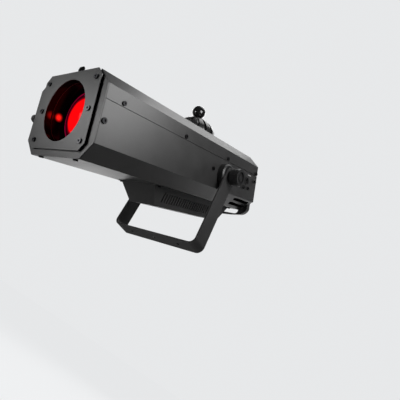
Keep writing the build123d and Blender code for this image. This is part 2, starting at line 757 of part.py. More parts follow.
focus_knob_bottom = half_height + 2.5
focus_knob_top = 113.0
with BuildPart() as focus_knob:
    knob_centre = [(0, carriage_back)]
    discs(level(focus_knob_bottom), knob_centre, 14, focus_knob_top - focus_knob_bottom)
    with BuildSketch(level(focus_knob_bottom + 3)):
        with Locations(knob_centre[0]):
            with PolarLocations(14.6, 20):
                Circle(1.3)
    extrude(amount=focus_knob_top - focus_knob_bottom, mode=Mode.SUBTRACT)
    bore = stud_top + 0.5 - focus_knob_bottom
    discs(level(focus_knob_bottom), knob_centre, 4 + running_clearance, bore, Mode.SUBTRACT)

# ---------------------------------------------------------------- iris
ring_thickness = 3.0
ring_front = iris_back - ring_thickness / 2
ring_radius = 61.95
rim_radius = 65.0
blade_front = 433.1
blade_thickness = 0.4
base_front = 437.5
blade_pin_radius = 1.5
blade_angles = [360 / blade_count * number for number in range(blade_count)]

with BuildPart() as iris_base:
    discs(section(ring_front - 1), optic_centre, rim_radius, -(gate_back - ring_front + 1))
    pocket_depth = base_front - ring_front + 1
    pocket_radius = ring_radius + running_clearance
    discs(section(ring_front - 1), optic_centre, pocket_radius, -pocket_depth, Mode.SUBTRACT)
    discs(section(base_front), optic_centre, 34, -(gate_back - base_front), Mode.SUBTRACT)
    rim_gap = rectangle((-29, optic_up + 50), (29, optic_up + rim_radius + 1))
    slab(section(ring_front - 1), rim_gap, -(ring_thickness + 1.2), Mode.SUBTRACT)
    with BuildSketch(section(blade_front)):
        with Locations((0, optic_up)):
            with PolarLocations(blade_pivot_radius, blade_count):
                Circle(blade_pin_radius)
    extrude(amount=-(base_front - blade_front))

lever_radius = 4.0
with BuildPart() as iris_lever:
    with BuildSketch(section(ring_front)):
        with Locations((0, optic_up)):
            Circle(ring_radius)
            Circle(36, mode=Mode.SUBTRACT)
        with Locations((0, (optic_up + 50 + 100) / 2)):
            Rectangle(2 * lever_radius, 100 - optic_up - 50)
    extrude(amount=-ring_thickness)
    discs(level(95), [(0, iris_back)], lever_radius, ball_up - 14 - 95)

with BuildPart() as iris_ball:
    with Locations(head_place * Location((0, iris_back, ball_up))):
        Sphere(ball_radius)
    discs(level(ball_up - ball_radius - 1), [(0, iris_back)], lever_radius, ball_radius - 13, Mode.SUBTRACT)

# One blade, drawn about its own pivot with the iris wide open.
blade_inner = 36.0
blade_outer = 52.0
blade_sweep = 78.0
with BuildSketch() as blade_shape:
    with BuildLine():
        tip_x = cos(radians(blade_sweep))
        tip_y = sin(radians(blade_sweep))
        CenterArc((-blade_pivot_radius, 0), blade_outer, 0, blade_sweep)
        CenterArc((-blade_pivot_radius, 0), blade_inner, 0, blade_sweep)
        Line((blade_inner - blade_pivot_radius, 0), (blade_outer - blade_pivot_radius, 0))
        Line(
            (blade_inner * tip_x - blade_pivot_radius, blade_inner * tip_y),
            (blade_outer * tip_x - blade_pivot_radius, blade_outer * tip_y),
        )
    make_face()
    with Locations((-5, 0)):
        Rectangle(10, 7)
    Circle(3.5)
    Circle(blade_pin_radius + running_clearance, mode=Mode.SUBTRACT)

iris_blades = {}
for number, angle in enumerate(blade_angles):
    with BuildPart() as iris_blade:
        with BuildSketch(section(blade_front + number * blade_pitch)):
            with Locations(Location((0, optic_up, 0), (0, 0, angle))):
                with Locations(Location((blade_pivot_radius, 0, 0), (0, 0, iris_swing))):
                    add(blade_shape.sketch)
        extrude(amount=-blade_thickness)
    iris_blades[f"iris_blade_{number + 1}"] = iris_blade


crown_reach = dome_radius**2 - 2 * dome_radius * dome_shoulder + dome_rise**2
dome_crown = crown_reach / 2 / (dome_rise - dome_shoulder)
dome_lean = degrees(atan2(dome_crown - dome_rise, dome_radius - dome_shoulder))


def dome_profile(inset, mode=Mode.ADD):
    """Half outline of the dome in the upright plane along the beam: wall, shoulder arc and crown arc."""
    shoulder = dome_shoulder - inset
    crown = dome_crown - inset
    wall = dome_back + dome_radius - inset
    top = dome_base + dome_rise - inset
    with BuildLine() as outline:
        Line((dome_back, half_height), (wall, half_height))
        Line((wall, half_height), (wall, dome_base))
        CenterArc((wall - shoulder, dome_base), shoulder, 0, dome_lean)
        CenterArc((dome_back, top - crown), crown, dome_lean, 90 - dome_lean)
        Line((dome_back, top), (dome_back, half_height))
    make_face(outline.edges(), mode=mode)


dome_skin = 2.0
vane_root = 1.0
dome_axis = head_axis(dome_back, 0, (0, 0, 1))
with BuildPart() as vane_layer:
    with BuildSketch(side(0)):
        dome_profile(0)
        dome_profile(groove_depth + vane_root, Mode.SUBTRACT)
    revolve(axis=dome_axis)
    with BuildSketch(level(half_height)):
        with Locations((0, dome_back)):
            Circle(dome_radius + 1)
            groove_length = dome_radius + 2 - dome_cap_radius
            with PolarLocations(dome_cap_radius + groove_length / 2, groove_count):
                Rectangle(groove_length, groove_width, mode=Mode.SUBTRACT)
    extrude(amount=dome_base + dome_rise, mode=Mode.INTERSECT)

with BuildPart() as iris_cover:
    with BuildSketch(side(0)):
        dome_profile(groove_depth)
        dome_profile(groove_depth + dome_skin, Mode.SUBTRACT)
    revolve(axis=dome_axis)
    add(vane_layer.part)
    slot = rectangle((-50, iris_back - lever_slot_half_back), (50, iris_back + lever_slot_half_back))
    slab(level(half_height + 7), slot, 60, Mode.SUBTRACT)

# ---------------------------------------------------------------- colour wheel and light source
wheel_centre = [(wheel_x, optic_up)]
wheel_thickness = 1.5
motor_front = 456.0
with BuildPart() as colour_wheel:
    with BuildSketch(section(wheel_back)):
        with Locations(wheel_centre[0]):
            Circle(wheel_radius)
            with PolarLocations(filter_pitch_radius, filter_count):
                Circle(14.5, mode=Mode.SUBTRACT)
    extrude(amount=-wheel_thickness)
    discs(section(wheel_back), wheel_centre, 8, -(motor_front - 1 - wheel_back))
    discs(section(wheel_back - 3), wheel_centre, 2.5, -(motor_front + 14 - wheel_back))

with BuildPart() as colour_filters:
    with BuildSketch(section(wheel_back + wheel_thickness)):
        with Locations(wheel_centre[0]):
            with PolarLocations(filter_pitch_radius, filter_count - 1, angular_range=300):
                Circle(16)
    extrude(amount=-1.1)

motor_length = 24.0
heatsink_base = 507.0
with BuildPart() as wheel_motor:
    motor_rear = motor_front + motor_length
    discs(section(motor_front), wheel_centre, 17, -motor_length)
    post_points = [(wheel_x - 10, optic_up - 8), (wheel_x - 10, optic_up + 8)]
    discs(section(motor_rear), post_points, 3, -(heatsink_base - motor_rear))
    discs(section(motor_front), wheel_centre, 2.5 + running_clearance, -16, Mode.SUBTRACT)

condenser_front = 458.0
emitter_face = 502.0
board_sheet = 1.6
with BuildPart() as condenser_lens:
    with BuildSketch(section(condenser_front)):
        with Locations((0, optic_up)):
            Circle(19)
    with BuildSketch(section(emitter_face)):
        with Locations((0, optic_up)):
            Circle(7)
    loft()

heatsink_plate = 6.0
fin_depth = 57.0
fin_count = 17
fin_pitch = 9.5
with BuildPart() as led_board:
    with BuildSketch(section(heatsink_base - board_sheet)):
        with Locations((0, optic_up)):
            RectangleRounded(50, 50, 3)
    extrude(amount=-board_sheet)
    with BuildSketch(section(emitter_face)):
        with Locations((0, optic_up)):
            Rectangle(18, 18)
    extrude(amount=-(heatsink_base - board_sheet - emitter_face))

with BuildPart() as heatsink:
    with BuildSketch(level(-60)):
        with Locations((0, heatsink_base + heatsink_plate / 2)):
            Rectangle(fin_pitch * (fin_count - 1) + 2, heatsink_plate)
        with Locations((0, heatsink_base + heatsink_plate + fin_depth / 2)):
            with GridLocations(fin_pitch, 1, fin_count, 1):
                Rectangle(2, fin_depth)
    extrude(amount=120)

fan_front = 570.0
fan_depth = 25.0
fan_bore_radius = 57.0
with BuildPart() as fan_housing:
    with BuildSketch(section(fan_front)):
        RectangleRounded(120, 120, 5)
        Circle(fan_bore_radius, mode=Mode.SUBTRACT)
        with GridLocations(105, 105, 2, 2):
            Circle(2.2, mode=Mode.SUBTRACT)
    extrude(amount=-fan_depth)
    with BuildSketch(section(fan_front + fan_depth - 3)):
        Circle(20)
        with PolarLocations(0, 2, start_angle=45, angular_range=180):
            Rectangle(2 * fan_bore_radius + 2, 6)
        Circle(3 + running_clearance, mode=Mode.SUBTRACT)
    extrude(amount=-3)

with BuildPart(section(fan_front + 11)) as fan_rotor:
    Cylinder(19.5, 18)
    with PolarLocations(36.5, 7):
        Box(36, 2.2, 18, rotation=(35, 0, 0))
    discs(section(fan_front + 18), [(0, 0)], 3, -6.5)

# ---------------------------------------------------------------- labels and files
pieces = {
    "yoke_bracket": yoke_bracket, "yoke_weld_nuts": yoke_weld_nuts,
    "friction_washers": friction_washers, "pivot_hubs": pivot_hubs, "pivot_studs": pivot_studs,
    "tilt_knob_right": tilt_knob_right, "tilt_knob_left": tilt_knob_left, "lower_shell": lower_shell,
    "top_cover": top_cover, "front_collar": front_collar, "face_plate": face_plate,
    "plate_standoffs": plate_standoffs, "light_sleeve": light_sleeve,
    "face_plate_screws": face_plate_screws, "lens_tube": lens_tube, "front_lens": front_lens,
    "lens_retainer": lens_retainer, "gel_frame": gel_frame, "frame_lock_screw": frame_lock_screw,
    "rear_panel": rear_panel, "rear_handle": rear_handle, "rear_screws": rear_screws,
    "display": display, "control_board": control_board, "power_inlet": power_inlet,
    "power_switch": power_switch, "switch_body": switch_body, "dmx_sockets": dmx_sockets,
    "side_label": side_label, "driver_box": driver_box, "led_driver": led_driver,
    "power_supply": power_supply, "housing_screws": housing_screws, "gate_plate": gate_plate,
    "guide_rods": guide_rods, "lens_carriage": lens_carriage, "focus_lens": focus_lens,
    "focus_knob": focus_knob, "iris_base": iris_base, "iris_lever": iris_lever, "iris_ball": iris_ball,
    "iris_cover": iris_cover, "colour_wheel": colour_wheel, "colour_filters": colour_filters,
    "wheel_motor": wheel_motor, "condenser_lens": condenser_lens, "led_board": led_board,
    "heatsink": heatsink, "fan_housing": fan_housing, "fan_rotor": fan_rotor,
    **menu_buttons, **iris_blades,
}

os.makedirs("parts", exist_ok=True)
for name, piece in pieces.items():
    piece.part.label = name
    export_step(piece.part, f"parts/{name}.step")
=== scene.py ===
import json
import math

import bmesh
import bpy
from mathutils import Matrix, Vector

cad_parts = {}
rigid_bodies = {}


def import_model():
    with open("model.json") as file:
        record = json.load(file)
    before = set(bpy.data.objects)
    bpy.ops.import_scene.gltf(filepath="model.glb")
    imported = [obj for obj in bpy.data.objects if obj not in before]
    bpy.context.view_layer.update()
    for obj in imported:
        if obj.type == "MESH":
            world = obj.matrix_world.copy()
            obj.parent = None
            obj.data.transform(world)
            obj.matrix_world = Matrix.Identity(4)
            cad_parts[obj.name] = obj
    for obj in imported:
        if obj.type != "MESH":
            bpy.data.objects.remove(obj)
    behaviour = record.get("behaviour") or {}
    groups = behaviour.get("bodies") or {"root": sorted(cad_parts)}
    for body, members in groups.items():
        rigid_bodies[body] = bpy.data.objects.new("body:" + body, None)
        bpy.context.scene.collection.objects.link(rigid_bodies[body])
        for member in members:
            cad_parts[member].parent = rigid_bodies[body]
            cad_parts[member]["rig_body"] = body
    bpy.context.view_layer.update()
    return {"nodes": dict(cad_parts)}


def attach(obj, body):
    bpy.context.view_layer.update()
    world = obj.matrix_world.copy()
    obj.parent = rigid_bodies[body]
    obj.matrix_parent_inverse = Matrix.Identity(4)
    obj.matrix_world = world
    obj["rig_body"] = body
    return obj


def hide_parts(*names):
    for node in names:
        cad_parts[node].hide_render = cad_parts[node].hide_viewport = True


# An LED followspot in a strap yoke. Metres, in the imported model's frame: the yoke stands on the
# origin, the beam leaves towards -Y and the head is tipped down by REST_TILT.
REST_TILT = math.radians(27.3)
PIVOT_HEIGHT = 0.2126
PIVOT_BACK = 0.438
PIVOT_UP = -0.017
OPTIC_UP = 0.0065

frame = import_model()

HEAD = (
    Matrix.Translation((0, 0, PIVOT_HEIGHT))
    @ Matrix.Rotation(REST_TILT, 4, "X")
    @ Matrix.Translation((0, -PIVOT_BACK, -PIVOT_UP))
)


# ---------------------------------------------------------------- shader helpers
def new_material(name):
    material = bpy.data.materials.new(name)
    material.use_nodes = True
    return material, material.node_tree, material.node_tree.nodes["Principled BSDF"]


def node(tree, kind, **values):
    """Add a node; values are its attributes or, failing that, its input sockets."""
    made = tree.nodes.new(kind)
    for key, value in values.items():
        if hasattr(made, key):
            setattr(made, key, value)
        else:
            made.inputs[key.replace("_", " ")].default_value = value
    return made


def coordinates(tree, stretch=(1, 1, 1)):
    """Object coordinates, stretched to draw a grain along one direction."""
    source = node(tree, "ShaderNodeTexCoord")
    mapping = node(tree, "ShaderNodeMapping")
    mapping.inputs["Scale"].default_value = stretch
    tree.links.new(source.outputs["Object"], mapping.inputs["Vector"])
    return mapping.outputs["Vector"]


def noise(tree, vector, scale, detail=3.0, rough=0.5):
    made = node(tree, "ShaderNodeTexNoise", Scale=scale, Detail=detail, Roughness=rough)
    tree.links.new(vector, made.inputs["Vector"])
    return made.outputs["Fac"]


def ramp(tree, value, low, high, low_colour, high_colour):
    made = node(tree, "ShaderNodeValToRGB")
    first, last = made.color_ramp.elements
    first.position, last.position = low, high
    first.color, last.color = (*low_colour, 1), (*high_colour, 1)
    tree.links.new(value, made.inputs["Fac"])
    return made.outputs["Color"]


def spread(tree, value, low, high):
    """Map a 0..1 value to low..high."""
    made = node(tree, "ShaderNodeMapRange")
    made.inputs["To Min"].default_value = low
    made.inputs["To Max"].default_value = high
    tree.links.new(value, made.inputs["Value"])
    return made.outputs["Result"]


def bump(tree, shader, height, strength, distance):
    made = node(tree, "ShaderNodeBump", Strength=strength, Distance=distance)
    tree.links.new(height, made.inputs["Height"])
    tree.links.new(made.outputs["Normal"], shader.inputs["Normal"])


def grey(level, tint=(1.0, 1.0, 1.0)):
    return tuple(level * part for part in tint)


# ---------------------------------------------------------------- materials
CREVICE_REACH = 0.004
CREVICE_SHUT = 0.25
CREVICE_OPEN = 0.75
CREVICE_SHADE_DARKEST = 0.05


def painted_crevice_shade(tree, colour):
    """Painted shade: darken a colour where walls close in on each other, as in gaps and slots."""
    shut = node(tree, "ShaderNodeAmbientOcclusion", samples=8, Distance=CREVICE_REACH)
    crevice_shade = node(tree, "ShaderNodeMapRange")
    crevice_shade.inputs["From Min"].default_value = CREVICE_SHUT
    crevice_shade.inputs["From Max"].default_value = CREVICE_OPEN
    crevice_shade.inputs["To Min"].default_value = CREVICE_SHADE_DARKEST
    tree.links.new(shut.outputs["AO"], crevice_shade.inputs["Value"])
    scaled = node(tree, "ShaderNodeVectorMath", operation="SCALE")
    tree.links.new(colour, scaled.inputs[0])
    tree.links.new(crevice_shade.outputs["Result"], scaled.inputs["Scale"])
    return scaled.outputs["Vector"]


def powder_coat(name, level, roughness, worn=0.0):
    """Fine-textured black powder coat with faint mottling and painted shade in its gaps and slots."""
    material, tree, shader = new_material(name)
    place = coordinates(tree)
    fine = noise(tree, place, 1500, 2, 0.6)
    mottle = noise(tree, place, 28, 4, 0.6)
    dark = grey(level * 0.86 + worn, (1.0, 0.99, 0.985))
    pale = grey(level * 1.16 + worn, (1.0, 0.985, 0.98))
    tone = ramp(tree, mottle, 0.32, 0.7, dark, pale)
    # Painted shade: the colour darkens in gaps, slots and seams.
    tree.links.new(painted_crevice_shade(tree, tone), shader.inputs["Base Color"])
    tree.links.new(spread(tree, mottle, roughness - 0.04, roughness + 0.05), shader.inputs["Roughness"])
    bump(tree, shader, fine, 0.3, 0.00018)
    return material


def plastic(name, level, roughness, coat=0.0, grain=900, tint=(1.0, 1.0, 1.02)):
    """Moulded black plastic with handling marks in its gloss."""
    material, tree, shader = new_material(name)
    place = coordinates(tree)
    marks = noise(tree, coordinates(tree, (1, 1, 6)), 60, 5, 0.65)
    shade = noise(tree, place, 40, 3)
    tone = ramp(tree, shade, 0.3, 0.75, grey(level * 0.8, tint), grey(level * 1.3, tint))
    tree.links.new(tone, shader.inputs["Base Color"])
    tree.links.new(spread(tree, marks, roughness * 0.8, roughness * 1.3), shader.inputs["Roughness"])
    shader.inputs["Coat Weight"].default_value = coat
    shader.inputs["Coat Roughness"].default_value = 0.06
    bump(tree, shader, noise(tree, place, grain, 2), 0.12, 0.0001)
    return material


PAINTED_GLINT_RED = (1.0, 0.012, 0.008)


def painted_glint(tree, place, reach, strength):
    """A painted soft round patch of light, brightest at its place and gone at its reach."""
    away = node(tree, "ShaderNodeVectorMath", operation="DISTANCE")
    tree.links.new(coordinates(tree), away.inputs[0])
    away.inputs[1].default_value = place
    patch = node(tree, "ShaderNodeMapRange", interpolation_type="SMOOTHERSTEP")
    patch.inputs["From Min"].default_value = reach
    patch.inputs["From Max"].default_value = 0.0
    patch.inputs["To Max"].default_value = strength
    tree.links.new(away.outputs["Value"], patch.inputs["Value"])
    return patch.outputs["Result"]


def light_trap(name, painted_glints=()):
    """Dark anodised walls around the lens, with painted red spots of light standing for stray light from
    the lens.
    """
    material, tree, shader = new_material(name)
    turned = noise(tree, coordinates(tree), 1400, 2)
    tree.links.new(ramp(tree, turned, 0.3, 0.7, grey(0.0018), grey(0.0032)), shader.inputs["Base Color"])
    tree.links.new(spread(tree, turned, 0.14, 0.22), shader.inputs["Roughness"])
    shader.inputs["Specular IOR Level"].default_value = 0.08
    # Painted light: the spots are emission on the wall, not a lamp.
    if painted_glints:
        total = node(tree, "ShaderNodeMath", operation="ADD")
        for number, (place, reach, strength) in enumerate(painted_glints):
            tree.links.new(painted_glint(tree, place, reach, strength), total.inputs[number])
        shader.inputs["Emission Color"].default_value = (*PAINTED_GLINT_RED, 1)
        tree.links.new(total.outputs[0], shader.inputs["Emission Strength"])
    return material


def metal(name, colour, roughness, grain=(1, 1, 1), scale=400):
    """Bare or dark-finished metal with a drawn or turned grain."""
    material, tree, shader = new_material(name)
    streaks = noise(tree, coordinates(tree, grain), scale, 4, 0.7)
    darker = tuple(part * 0.75 for part in colour)
    tree.links.new(ramp(tree, streaks, 0.3, 0.7, darker, colour), shader.inputs["Base Color"])
    tree.links.new(spread(tree, streaks, roughness * 0.75, roughness * 1.3), shader.inputs["Roughness"])
    shader.inputs["Metallic"].default_value = 1.0
    bump(tree, shader, streaks, 0.15, 0.00008)
    return material


def glass(name, colour, roughness=0.02, transmission=1.0):
    material, tree, shader = new_material(name)
    haze = noise(tree, coordinates(tree), 90, 4, 0.6)
    paler = tuple(min(1.0, part * 1.05 + 0.02) for part in colour)
    tree.links.new(ramp(tree, haze, 0.3, 0.7, colour, paler), shader.inputs["Base Color"])
    tree.links.new(spread(tree, haze, roughness, roughness * 2.0), shader.inputs["Roughness"])
    shader.inputs["Transmission Weight"].default_value = transmission
    shader.inputs["IOR"].default_value = 1.5
    return material


def circuit_board():
    """Green solder mask with copper tracks under it."""
    material, tree, shader = new_material("circuit_board")
    place = coordinates(tree)
    tracks = node(tree, "ShaderNodeTexBrick", Scale=160.0)
    tracks.inputs["Color1"].default_value = (0.008, 0.07, 0.03, 1)
    tracks.inputs["Color2"].default_value = (0.01, 0.09, 0.035, 1)
    tracks.inputs["Mortar"].default_value = (0.03, 0.15, 0.06, 1)
    tree.links.new(place, tracks.inputs["Vector"])
    tree.links.new(tracks.outputs["Color"], shader.inputs["Base Color"])
    tree.links.new(spread(tree, noise(tree, place, 300), 0.25, 0.4), shader.inputs["Roughness"])
    return material


def painted_glow_lens():
    """The front lens with the glow of the red light behind it painted on as emission: a bright middle, a
    dark band and a thin bright rim.
    """
    material, tree, shader = new_material("painted_glow_lens")
    radius = node(tree, "ShaderNodeAttribute", attribute_name="lens_radius")
    cloud = noise(tree, coordinates(tree), 45, 3)
    ragged = node(tree, "ShaderNodeMath", operation="MULTIPLY_ADD")
    tree.links.new(cloud, ragged.inputs[0])
    ragged.inputs[1].default_value = 0.10
    tree.links.new(radius.outputs["Fac"], ragged.inputs[2])
    # Painted light: radial bands of emitted red stand in for the lit LED seen through the lens.
    glow = node(tree, "ShaderNodeValToRGB")
    bands = glow.color_ramp
    bands.elements[0].position = 0.0
    bands.elements[0].color = (1.0, 0.002, 0.003, 1)
    bands.elements[1].position = 1.0
    bands.elements[1].color = (0.30, 0.0, 0.03, 1)
    for position, colour in (
        (0.70, (1.0, 0.002, 0.003)),
        (0.755, (0.22, 0.0, 0.006)),
        (0.83, (0.035, 0.0, 0.003)),
        (0.92, (0.02, 0.0, 0.003)),
        (0.965, (0.05, 0.0, 0.01)),
        (0.985, (0.22, 0.0, 0.03)),
    ):
        stop = bands.elements.new(position)
        stop.color = (*colour, 1)
    tree.links.new(ragged.outputs[0], glow.inputs["Fac"])
    tree.links.new(glow.outputs["Color"], shader.inputs["Emission Color"])
    shader.inputs["Emission Strength"].default_value = 1.0
    tree.links.new(
        ramp(tree, cloud, 0.3, 0.7, (0.02, 0.0, 0.001), (0.035, 0.0, 0.002)), shader.inputs["Base Color"]
    )
    shader.inputs["Roughness"].default_value = 0.08
    shader.inputs["Specular IOR Level"].default_value = 0.03
    return material


# Painted red spots of stray light on the left wall in front of the lens: place, reach and strength. A
# Math node adds two values, so there are two.
TUBE_WALL = 0.0635
SLEEVE_WALL = 0.0629
PAINTED_GLINTS = (
    (HEAD @ Vector((-TUBE_WALL, 0.028, 0.004)), 0.0115, 1.3),
    (HEAD @ Vector((-SLEEVE_WALL, 0.008, 0.002)), 0.012, 0.22),
)

MATERIALS = {
    "black_steel": powder_coat("black_steel", 0.022, 0.42),
    "yoke_steel": powder_coat("yoke_steel", 0.026, 0.50),
    "worn_steel": powder_coat("worn_steel", 0.030, 0.42, worn=0.010),
    "hub_black": plastic("hub_black", 0.005, 0.38),
    "knob_black": plastic("knob_black", 0.007, 0.46),
    "ball_black": plastic("ball_black", 0.006, 0.10, coat=0.3),
    "dome_black": plastic("dome_black", 0.012, 0.28, coat=0.2),
    "matte_black": plastic("matte_black", 0.018, 0.55),
    "black_screw": metal("black_screw", (0.045, 0.045, 0.048), 0.30, (1, 1, 1), 600),
    "steel": metal("steel", (0.56, 0.56, 0.58), 0.30, (1, 12, 1)),
    "dark_steel": metal("dark_steel", (0.09, 0.09, 0.095), 0.38),
    "aluminium": metal("aluminium", (0.72, 0.72, 0.74), 0.34, (1, 1, 10)),
    "light_trap": light_trap("light_trap"),
    "painted_glint_wall": light_trap("painted_glint_wall", PAINTED_GLINTS),
    "dull_screw": metal("dull_screw", (0.016, 0.016, 0.017), 0.44),
    "dark_anodised": plastic("dark_anodised", 0.010, 0.30, grain=1400),
    "module": metal("module", (0.55, 0.56, 0.58), 0.42, (8, 1, 1)),
    "blade_steel": metal("blade_steel", (0.10, 0.10, 0.11), 0.35, (1, 1, 6)),
    "clear_glass": glass("clear_glass", (0.93, 0.96, 0.97)),
    "red_glass": glass("red_glass", (0.80, 0.04, 0.03)),
    "board": circuit_board(),
    "display_glass": plastic("display_glass", 0.006, 0.06, coat=1.0, tint=(0.8, 0.9, 1.4)),
    "white_label": powder_coat("white_label", 0.62, 0.5),
    "painted_glow_lens": painted_glow_lens(),
}


# ---------------------------------------------------------------- mesh helpers
def link(name, mesh, material, body, replaced=()):
    """Put a finished mesh in the scene, riding on a body."""
    piece = bpy.data.objects.new(name, mesh)
    bpy.context.scene.collection.objects.link(piece)
    if material is not None:
        mesh.materials.clear()
        mesh.materials.append(MATERIALS[material])
    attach(piece, body)
    if replaced:
        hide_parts(*replaced)
    return piece


def shade(mesh, angle=32.0):
    for polygon in mesh.polygons:
        polygon.use_smooth = True
    mesh.set_sharp_from_angle(angle=math.radians(angle))


MERGE_DISTANCE = 2e-6
FLAT_ANGLE = math.radians(0.6)
SHARP_ANGLE = math.radians(30.0)
EDGE_SEGMENTS = 2


def softened(name, material, width, edge_material):
    """A CAD node redrawn with its sharp edges rounded, as pressing, bending or moulding leaves them."""
    source = frame["nodes"][name]
    mesh = source.data.copy()
    mesh.name = name + "_shape"
    work = bmesh.new()
    work.from_mesh(mesh)
    bmesh.ops.remove_doubles(work, verts=work.verts, dist=MERGE_DISTANCE)
    bmesh.ops.dissolve_limit(
        work,
        angle_limit=FLAT_ANGLE,
        use_dissolve_boundaries=False,
        verts=work.verts,
        edges=work.edges,
    )
    work.to_mesh(mesh)
    work.free()
    mesh.materials.clear()
    mesh.materials.append(MATERIALS[material])
    mesh.materials.append(MATERIALS[edge_material])
    holder = bpy.data.objects.new(name + "_work", mesh)
    bpy.context.scene.collection.objects.link(holder)
    rounding = holder.modifiers.new("rounding", "BEVEL")
    rounding.width = width
    rounding.segments = EDGE_SEGMENTS
    rounding.limit_method = "ANGLE"
    rounding.angle_limit = SHARP_ANGLE
    rounding.use_clamp_overlap = True
    rounding.material = 1
    rounding.miter_outer = "MITER_ARC"
    for polygon in mesh.polygons:
        polygon.use_smooth = True
    weighting = holder.modifiers.new("weighting", "WEIGHTED_NORMAL")
    weighting.weight = 100
    weighting.keep_sharp = False
    bpy.context.view_layer.update()
    graph = bpy.context.evaluated_depsgraph_get()
    finished = bpy.data.meshes.new_from_object(holder.evaluated_get(graph))
    bpy.data.objects.remove(holder)
    finished.name = name + "_rounded"
    return link(name + "_piece", finished, None, source["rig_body"], (name,))


def paint(name, material):
    """Give a CAD node that keeps its own mesh a material."""
    target = frame["nodes"][name]
    target.data.materials.clear()
    target.data.materials.append(MATERIALS[material])
    shade(target.data)


def revolved(profile, steps, place):
    """Turn (radius, height) points about local Z, then put the mesh at place."""
    work = bmesh.new()
    rings = []
    for radius, height in profile:
        if radius < 1e-7:
            rings.append([work.verts.new((0, 0, height))])
            continue
        ring = []
        for step in range(steps):
            turn = 2 * math.pi * step / steps
            ring.append(work.verts.new((radius * math.cos(turn), radius * math.sin(turn), height)))
        rings.append(ring)
    for low, high in zip(rings, rings[1:]):
        for step in range(steps):
            after = (step + 1) % steps
            corners = [low[step % len(low)], low[after % len(low)]]
            corners += [high[after % len(high)], high[step % len(high)]]
            unique = list(dict.fromkeys(corners))
            if len(unique) > 2:
                work.faces.new(unique)
    bmesh.ops.recalc_face_normals(work, faces=work.faces)
    bmesh.ops.transform(work, matrix=place, verts=work.verts)
    mesh = bpy.data.meshes.new("revolved")
    work.to_mesh(mesh)
    work.free()
    return mesh


def head_point(x, back, up):
    return HEAD @ Vector((x, back, up))


def facing_front(x, back, up):
    """Matrix whose local Z looks out of the front of the head."""
    return HEAD @ Matrix.Translation((x, back, up)) @ Matrix.Rotation(math.radians(90), 4, "X")


def facing_up(x, back, up):
    return HEAD @ Matrix.Translation((x, back, up))


# ---------------------------------------------------------------- sheet metal and moulded parts
# Node: its material and the radius of its edges.
ROUNDED = {
    "yoke_bracket": ("yoke_steel", 0.0007),
    "lower_shell": ("black_steel", 0.0006),
    "top_cover": ("black_steel", 0.0006),
    "front_collar": ("black_steel", 0.0005),
    "face_plate": ("black_steel", 0.0005),
    "rear_panel": ("black_steel", 0.0005),
    "rear_handle": ("yoke_steel", 0.0006),
    "gel_frame": ("light_trap", 0.0004),
    "face_plate_screws": ("black_screw", 0.0009),
    "housing_screws": ("dull_screw", 0.0008),
    "rear_screws": ("black_screw", 0.0008),
    "plate_standoffs": ("black_screw", 0.0003),
    "yoke_weld_nuts": ("dark_steel", 0.0006),
    "pivot_hubs": ("hub_black", 0.0012),
    "pivot_studs": ("steel", 0.0005),
    "tilt_knob_right": ("knob_black", 0.0006),
    "tilt_knob_left": ("knob_black", 0.0006),
    "frame_lock_screw": ("knob_black", 0.0005),
    "focus_knob": ("knob_black", 0.0006),
    "iris_cover": ("dome_black", 0.0006),
    "dmx_sockets": ("matte_black", 0.0004),
    "power_inlet": ("matte_black", 0.0004),
    "power_switch": ("knob_black", 0.0006),
    "switch_body": ("matte_black", 0.0004),
    "display": ("display_glass", 0.0003),
    "heatsink": ("aluminium", 0.0002),
    "fan_housing": ("matte_black", 0.0005),
}
WORN_EDGES = {"yoke_bracket": "worn_steel", "rear_handle": "worn_steel"}
for name, (material, width) in ROUNDED.items():
    softened(name, material, width, WORN_EDGES.get(name, material))

PAINTED = {
    "driver_box": "yoke_steel",
    "friction_washers": "matte_black",
    "lens_tube": "painted_glint_wall",
    "light_sleeve": "painted_glint_wall",
    "lens_retainer": "light_trap",
    "guide_rods": "steel",
    "lens_carriage": "dark_anodised",
    "focus_lens": "clear_glass",
    "condenser_lens": "clear_glass",
    "iris_base": "dark_anodised",
    "iris_lever": "black_screw",
    "gate_plate": "dark_anodised",
    "colour_wheel": "dark_anodised",
    "colour_filters": "red_glass",
    "wheel_motor": "module",
    "led_board": "board",
    "control_board": "board",
    "led_driver": "dark_anodised",
    "power_supply": "dark_anodised",
    "fan_rotor": "matte_black",
    "side_label": "white_label",
}
PAINTED.update({f"menu_button_{number}": "knob_black" for number in range(1, 5)})
PAINTED.update({f"iris_blade_{number}": "blade_steel" for number in range(1, 7)})
for name, material in PAINTED.items():
    paint(name, material)


# ---------------------------------------------------------------- front lens
LENS_RADIUS = 0.058
LENS_VERTEX = 0.032
LENS_EDGE = 0.042
LENS_BACK = 0.046
LENS_RINGS = 36
LENS_STEPS = 128


